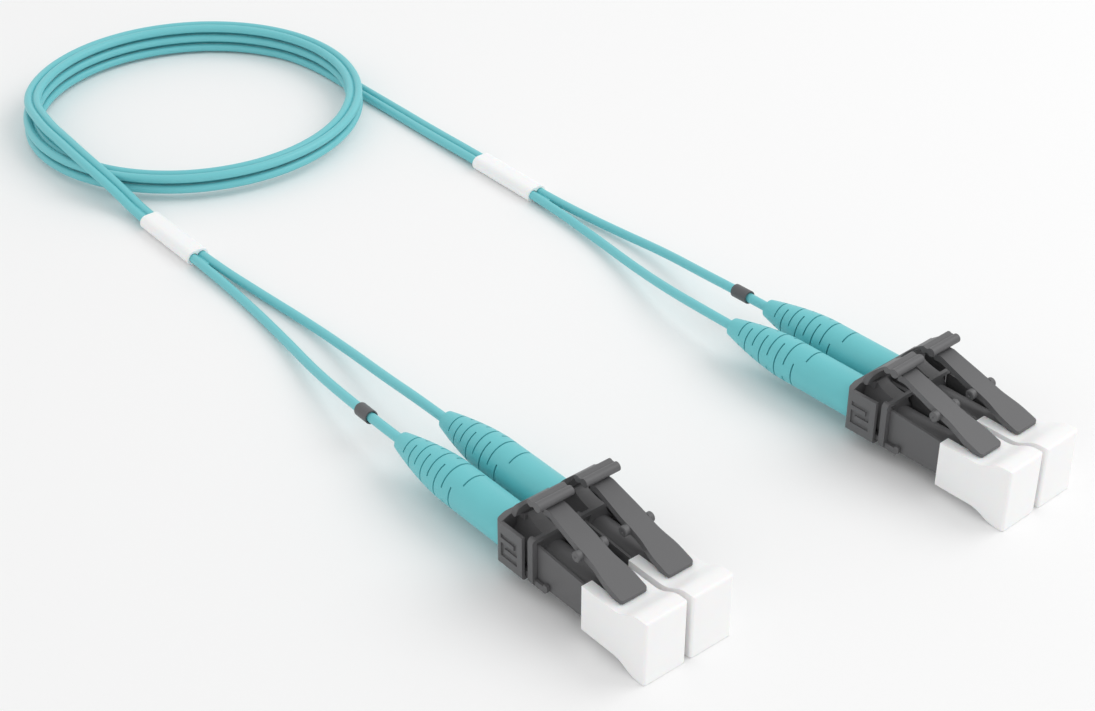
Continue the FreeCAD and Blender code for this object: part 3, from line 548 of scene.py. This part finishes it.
def sweep_tree(name, sizes):
    """Geometry nodes that sweep a section: the tree, its input node with the sizes, its sweep."""
    tree = bpy.data.node_groups.new(name, "GeometryNodeTree")
    tree.interface.new_socket("Geometry", in_out="INPUT", socket_type="NodeSocketGeometry")
    for size in sizes:
        tree.interface.new_socket(size, in_out="INPUT", socket_type="NodeSocketFloat")
    tree.interface.new_socket("Material", in_out="INPUT", socket_type="NodeSocketMaterial")
    tree.interface.new_socket("Geometry", in_out="OUTPUT", socket_type="NodeSocketGeometry")
    given, out = tree.nodes.new("NodeGroupInput"), tree.nodes.new("NodeGroupOutput")
    sweep = tree.nodes.new("GeometryNodeCurveToMesh")
    sweep.inputs["Fill Caps"].default_value = True
    realize = tree.nodes.new("GeometryNodeRealizeInstances")
    paint = tree.nodes.new("GeometryNodeSetMaterial")
    link_all(tree, [
        (sweep.outputs["Mesh"], realize.inputs["Geometry"]),
        (realize.outputs["Geometry"], paint.inputs["Geometry"]),
        (given.outputs["Material"], paint.inputs["Material"]),
        (paint.outputs["Geometry"], out.inputs["Geometry"]),
    ])
    return tree, given, sweep


def web_tree():
    """A flat strip swept along the middle of the double cord."""
    tree, given, sweep = sweep_tree("Cord Web", ("Width", "Height"))
    upright = tree.nodes.new("GeometryNodeSetCurveNormal")
    upright.mode = "Z_UP"
    strip = tree.nodes.new("GeometryNodeCurvePrimitiveQuadrilateral")
    link_all(tree, [
        (given.outputs["Geometry"], upright.inputs["Curve"]),
        (upright.outputs["Curve"], sweep.inputs["Curve"]),
        (given.outputs["Width"], strip.inputs["Width"]),
        (given.outputs["Height"], strip.inputs["Height"]),
        (strip.outputs["Curve"], sweep.inputs["Profile Curve"]),
    ])
    return tree


def spring_tree():
    """Round wire swept along a helix that rises from the origin along Z."""
    tree, given, sweep = sweep_tree("Wire Spring", ("Turns", "Radius", "Height", "Wire Radius"))
    helix = tree.nodes.new("GeometryNodeCurveSpiral")
    helix.inputs["Resolution"].default_value = SPRING_STEPS
    wire = tree.nodes.new("GeometryNodeCurvePrimitiveCircle")
    wire.inputs["Resolution"].default_value = WIRE_STEPS
    link_all(tree, [
        (given.outputs["Turns"], helix.inputs["Rotations"]),
        (given.outputs["Radius"], helix.inputs["Start Radius"]),
        (given.outputs["Radius"], helix.inputs["End Radius"]),
        (given.outputs["Height"], helix.inputs["Height"]),
        (helix.outputs["Curve"], sweep.inputs["Curve"]),
        (given.outputs["Wire Radius"], wire.inputs["Radius"]),
        (wire.outputs["Curve"], sweep.inputs["Profile Curve"]),
    ])
    return tree


def set_inputs(modifier, values):
    """Set a nodes modifier's inputs by the sockets' identifiers."""
    for item in modifier.node_group.interface.items_tree:
        if item.in_out == "INPUT" and item.name in values:
            modifier[item.identifier] = values[item.name]


def baked(thing, name):
    """A plain mesh object made from an object's evaluated modifiers; the source is removed."""
    bpy.context.view_layer.update()
    evaluated = thing.evaluated_get(bpy.context.evaluated_depsgraph_get())
    mesh = bpy.data.meshes.new_from_object(evaluated)
    made = bpy.data.objects.new(name, mesh)
    bpy.context.scene.collection.objects.link(made)
    bpy.data.objects.remove(thing)
    return made


class LC_OT_web(bpy.types.Operator):
    """The thin web that joins the two strands from sleeve to sleeve"""
    bl_idname = "patch_cord.web"
    bl_label = "Cord Web"

    def execute(self, context):
        cable = settings().cable
        middle = spline_of("web_line", joined_route(0.0))
        modifier = middle.modifiers.new("Web", "NODES")
        modifier.node_group = web_tree()
        set_inputs(modifier, {"Width": cable.web_width, "Height": cable.web_height,
                              "Material": material_for("cord_aqua")})
        web = baked(middle, "cord_web")
        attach(web, "root")
        return {"FINISHED"}


class LC_OT_housings(bpy.types.Operator):
    """Front and rear housings of the four plugs"""
    bl_idname = "patch_cord.housings"
    bl_label = "Housings"

    def execute(self, context):
        edge = settings().finish.edge
        moulded_plugs("plug_housing", "plug_grey", edge)
        moulded_plugs("rear_body", "plug_grey", edge)
        return {"FINISHED"}


class LC_OT_levers(bpy.types.Operator):
    """Latch levers and the triggers that press them"""
    bl_idname = "patch_cord.levers"
    bl_label = "Latches and Triggers"

    def execute(self, context):
        edge = settings().finish.edge
        moulded_plugs("latch_lever", "plug_grey", edge)
        moulded_plugs("trigger", "plug_grey", edge)
        return {"FINISHED"}


class LC_OT_ferrules(bpy.types.Operator):
    """Ceramic ferrules, their metal flanges, the crimped posts and their rings"""
    bl_idname = "patch_cord.ferrules"
    bl_label = "Ferrules and Metal Parts"

    def execute(self, context):
        moulded_plugs("ferrule", "ceramic_white")
        moulded_plugs("ferrule_flange", "nickel_metal")
        dressed_nodes("crimp_post", "nickel_metal")
        dressed_nodes("crimp_ring", "nickel_metal")
        return {"FINISHED"}


def spring_seat(plug):
    """A plug's spring: its front, direction to the rear, length, outer radius and travel."""
    joints = {joint["name"]: joint for joint in frame["record"]["behaviour"]["joints"]}
    joint = joints[f"{plug}_ferrule_float"]
    direction = Vector(joint["axis"]).normalized()
    low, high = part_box(f"{plug}_ferrule")
    centre = (Vector(low) + Vector(high)) / 2
    vertices = frame["nodes"][f"{plug}_ferrule_spring"].data.vertices
    points = [vertex.co - centre for vertex in vertices]
    reach = [point.dot(direction) for point in points]
    radius = max(point.cross(direction).length for point in points)
    front = centre + direction * min(reach)
    return front, direction, max(reach) - min(reach), radius, joint["range_m"][1]


class LC_OT_springs(bpy.types.Operator):
    """Wire springs behind the ferrules, each made at one fixed length"""
    bl_idname = "patch_cord.springs"
    bl_label = "Springs"

    def execute(self, context):
        spring = settings().spring
        tree = spring_tree()
        for plug in PLUGS:
            front, direction, length, radius, travel = spring_seat(plug)
            base = bpy.data.objects.new("spring_base", bpy.data.meshes.new("spring_base"))
            context.scene.collection.objects.link(base)
            modifier = base.modifiers.new("Spring", "NODES")
            modifier.node_group = tree
            set_inputs(modifier, {
                "Turns": spring.turns, "Radius": radius - spring.wire_radius,
                "Height": length - 2 * spring.wire_radius, "Wire Radius": spring.wire_radius,
                "Material": material_for("spring_steel")})
            piece = baked(base, f"{plug}_ferrule_spring_coil")
            turn = direction.to_track_quat("Z", "X").to_matrix().to_4x4()
            piece.data.transform(Matrix.Translation(front + direction * spring.wire_radius) @ turn)
            for face in piece.data.polygons:
                face.use_smooth = True
            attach(piece, "root")
            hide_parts(f"{plug}_ferrule_spring")
            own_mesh(piece)
        return {"FINISHED"}


class LC_OT_boots(bpy.types.Operator):
    """Tapered boots with their paired slots"""
    bl_idname = "patch_cord.boots"
    bl_label = "Boots"

    def execute(self, context):
        moulded_plugs("boot", "boot_aqua")
        return {"FINISHED"}


class LC_OT_caps(bpy.types.Operator):
    """Flared dust caps"""
    bl_idname = "patch_cord.caps"
    bl_label = "Dust Caps"

    def execute(self, context):
        moulded_plugs("dust_cap", "cap_white", settings().finish.edge)
        return {"FINISHED"}


class LC_OT_clips(bpy.types.Operator):
    """Duplex clips, the sleeves on the double cord and the marker bands"""
    bl_idname = "patch_cord.clips"
    bl_label = "Clips, Sleeves and Bands"

    def execute(self, context):
        edge = settings().finish.edge
        for end in ENDS:
            moulding(f"{end}_duplex_clip", "root", "plug_grey", edge)
            moulding(f"{end}_sleeve", "root", "cap_white", edge)
            moulding(f"{end}_marker_band", "root", "band_grey", edge)
        return {"FINISHED"}


class LC_OT_declare(bpy.types.Operator):
    """Does nothing; the two strands are not stated as free cords here"""
    bl_idname = "patch_cord.declare"
    bl_label = "Cord Facts"

    def execute(self, context):
        return {"FINISHED"}


def look_rotation(azimuth, elevation):
    """Rotation of a level camera that looks down by elevation, turned by azimuth from +Y."""
    back = Vector((math.sin(azimuth) * math.cos(elevation),
                   -math.cos(azimuth) * math.cos(elevation), math.sin(elevation)))
    right = Vector((math.cos(azimuth), math.sin(azimuth), 0))
    return Matrix((right, back.cross(right), back)).transposed().to_4x4().to_euler()


def add_camera(stage):
    camera = bpy.data.objects.new("camera", bpy.data.cameras.new("camera"))
    bpy.context.scene.collection.objects.link(camera)
    camera.data.sensor_width = SENSOR_WIDTH
    camera.data.lens = stage.camera_lens
    camera.data.clip_start = CLIP_START
    camera.data.clip_end = CLIP_END
    camera.location = stage.camera_place
    camera.rotation_euler = look_rotation(stage.camera_azimuth, stage.camera_elevation)
    bpy.context.scene.camera = camera


def add_floor(stage):
    """A square floor under the middle of the part."""
    low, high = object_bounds()
    half = stage.floor_size / 2
    middle = (Vector(low) + Vector(high)) / 2
    corners = [(middle.x + a * half, middle.y + b * half, low[2])
               for a, b in ((-1, -1), (1, -1), (1, 1), (-1, 1))]
    mesh = bpy.data.meshes.new("floor")
    mesh.from_pydata(corners, [], [(0, 1, 2, 3)])
    floor = bpy.data.objects.new("floor", mesh)
    bpy.context.scene.collection.objects.link(floor)
    material = bpy.data.materials.new("Floor")
    material.use_nodes = True
    shader = material.node_tree.nodes["Principled BSDF"]
    shader.inputs["Base Color"].default_value = opaque(stage.floor_colour)
    shader.inputs["Roughness"].default_value = 0.9
    shader.inputs["Specular IOR Level"].default_value = 0.1
    mesh.materials.append(material)
    floor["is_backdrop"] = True


def add_world(stage):
    """Even white light, with a white sky for what the camera and the gloss see."""
    world = bpy.data.worlds.new("studio")
    bpy.context.scene.world = world
    world.use_nodes = True
    tree = world.node_tree
    sky = tree.nodes["Background"]
    sky.inputs["Color"].default_value = (1, 1, 1, 1)
    path = tree.nodes.new("ShaderNodeLightPath")
    seen = maths(tree, "MAXIMUM", path.outputs["Is Camera Ray"], path.outputs["Is Glossy Ray"])
    seen = maths(tree, "MAXIMUM", seen, path.outputs["Is Transmission Ray"])
    strength = maths(tree, "MULTIPLY_ADD", seen, 1.0 - stage.sky, stage.sky)
    tree.links.new(strength, sky.inputs["Strength"])


def add_lamp(stage):
    """The soft round lamp overhead."""
    lamp = bpy.data.lights.new("key", "AREA")
    lamp.energy = stage.key
    lamp.shape = "DISK"
    lamp.size = LAMP_SIZE
    thing = bpy.data.objects.new("key", lamp)
    bpy.context.scene.collection.objects.link(thing)
    thing.location = LAMP_PLACE
    back = Vector(LAMP_PLACE) - Vector(LAMP_TARGET)
    thing.rotation_euler = back.to_track_quat("Z", "Y").to_euler()


class LC_OT_stage(bpy.types.Operator):
    """Camera, floor, sky and soft lamp"""
    bl_idname = "patch_cord.stage"
    bl_label = "Stage"

    def execute(self, context):
        stage = settings().stage
        add_camera(stage)
        add_floor(stage)
        add_world(stage)
        add_lamp(stage)
        context.scene.view_settings.view_transform = "Standard"
        return {"FINISHED"}


OPERATORS = (LC_OT_cords, LC_OT_web, LC_OT_housings, LC_OT_levers, LC_OT_ferrules, LC_OT_springs,
             LC_OT_boots, LC_OT_caps, LC_OT_clips, LC_OT_declare, LC_OT_stage)


class LC_PT_panel(bpy.types.Panel):
    """Lists the steps and the sizes that a user would change"""
    bl_idname = "LC_PT_panel"
    bl_label = "Patch Cord"
    bl_space_type = "VIEW_3D"
    bl_region_type = "UI"
    bl_category = "Patch Cord"

    def draw(self, context):
        for group in settings():
            for name in group.__annotations__:
                self.layout.prop(group, name)
        for operator in OPERATORS:
            self.layout.operator(operator.bl_idname)


CLASSES = (PatchCordFinish, PatchCordCable, PatchCordSpring, PatchCordStage, *OPERATORS,
           LC_PT_panel)


def register():
    for cls in CLASSES:
        bpy.utils.register_class(cls)
    bpy.types.Scene.patch_cord_finish = PointerProperty(type=PatchCordFinish)
    bpy.types.Scene.patch_cord_cable = PointerProperty(type=PatchCordCable)
    bpy.types.Scene.patch_cord_spring = PointerProperty(type=PatchCordSpring)
    bpy.types.Scene.patch_cord_stage = PointerProperty(type=PatchCordStage)


def unregister():
    del bpy.types.Scene.patch_cord_stage
    del bpy.types.Scene.patch_cord_spring
    del bpy.types.Scene.patch_cord_cable
    del bpy.types.Scene.patch_cord_finish
    for cls in reversed(CLASSES):
        bpy.utils.unregister_class(cls)


def main():
    """Make every piece."""
    register()
    moulded_group()
    drawn_group()
    for operator in OPERATORS:
        group, name = operator.bl_idname.split(".")
        getattr(getattr(bpy.ops, group), name)()


if __name__ == "__main__":
    main()
